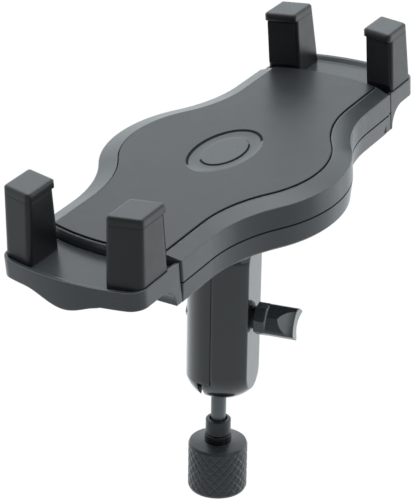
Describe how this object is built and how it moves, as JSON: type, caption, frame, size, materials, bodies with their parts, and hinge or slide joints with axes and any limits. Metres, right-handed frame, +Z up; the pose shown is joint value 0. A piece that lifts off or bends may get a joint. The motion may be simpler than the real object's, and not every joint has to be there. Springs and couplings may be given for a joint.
{
  "type": "microphone stand tablet holder",
  "caption": "Spring-clamp tablet holder with a waisted plate and corner claws on a double ball clamp arm that screws onto a microphone stand.",
  "frame": {"origin": "centre of the mouth of the threaded hole in the knurled nut", "axes": "+Z up along the nut and the clamp arm, +Y towards the fixed far jaw, +X towards the side that carries the wing knob"},
  "size_m": [0.1024, 0.2187, 0.1885],
  "materials": {
    "nut_steel": "black oxide satin",
    "black_steel": "black satin",
    "plated_steel": "zinc plated",
    "cast_arm": "fine black powder coat, semi-gloss",
    "rubber": "matte",
    "knob_plastic": "satin",
    "brass": "turned",
    "shell_plastic": "satin with fine texture",
    "plate_plastic": "matte with fine texture",
    "claw_rubber": "matte",
    "pad_rubber": "matte"
  },
  "bodies": {
    "root": {"knurled_nut": "nut_steel", "lock_nut": "plated_steel", "collar": "nut_steel", "ball_stud": "black_steel"},
    "lower_coat": {"lower_ball": "rubber"},
    "arm": {"arm_inner_half": "cast_arm", "clamp_bolt": "plated_steel", "clamp_spring": "plated_steel"},
    "clamp": {"arm_outer_half": "cast_arm", "knob_washer": "black_steel"},
    "knob": {"wing_knob": "knob_plastic", "knob_insert": "brass"},
    "upper_coat": {"upper_ball": "rubber"},
    "cradle": {"ball_base": "cast_arm", "base_screws": "black_steel", "back_shell": "shell_plastic", "upper_shell": "shell_plastic", "face_plate": "plate_plastic", "shell_screws": "black_steel", "far_left_claw": "claw_rubber", "far_left_pad": "pad_rubber", "far_right_claw": "claw_rubber", "far_right_pad": "pad_rubber", "left_jaw_spring": "plated_steel", "right_jaw_spring": "plated_steel"},
    "jaw": {"sliding_jaw": "shell_plastic", "near_left_claw": "claw_rubber", "near_left_pad": "pad_rubber", "near_right_claw": "claw_rubber", "near_right_pad": "pad_rubber"}
  },
  "joints": [
    {"name": "base_swivel", "type": "hinge", "parent": "root", "child": "lower_coat", "pos_m": [0, 0, 0.0575], "axis": [0, 0, 1], "continuous": true},
    {"name": "arm_lean", "type": "hinge", "parent": "lower_coat", "child": "arm", "pos_m": [0, 0, 0.0575], "axis": [-0.2079, 0.9781, 0], "range_deg": [-21, 21]},
    {"name": "clamp_slide", "type": "slide", "parent": "arm", "child": "clamp", "axis": [0.9781, 0.2079, 0], "range_m": [0, 0.0015]},
    {"name": "knob_turn", "type": "hinge", "parent": "clamp", "child": "knob", "pos_m": [0, 0, 0.082], "axis": [0.9781, 0.2079, 0], "range_deg": [0, 541]},
    {"name": "cradle_tilt", "type": "hinge", "parent": "arm", "child": "upper_coat", "pos_m": [0, 0, 0.1065], "axis": [1, 0, 0], "range_deg": [-31.5, 16.5]},
    {"name": "cradle_turn", "type": "hinge", "parent": "upper_coat", "child": "cradle", "pos_m": [0, 0, 0.1065], "axis": [0, -0.1305, 0.9914], "continuous": true},
    {"name": "jaw_slide", "type": "slide", "parent": "cradle", "child": "jaw", "axis": [0, -0.9914, -0.1305], "range_m": [0, 0.07], "stiffness_N_per_m": 100, "springref_m": -0.05}
  ],
  "couplings": [
    {"joint": "knob_turn", "follows": "clamp_slide", "rad_per_m": 6283.2}
  ]
}
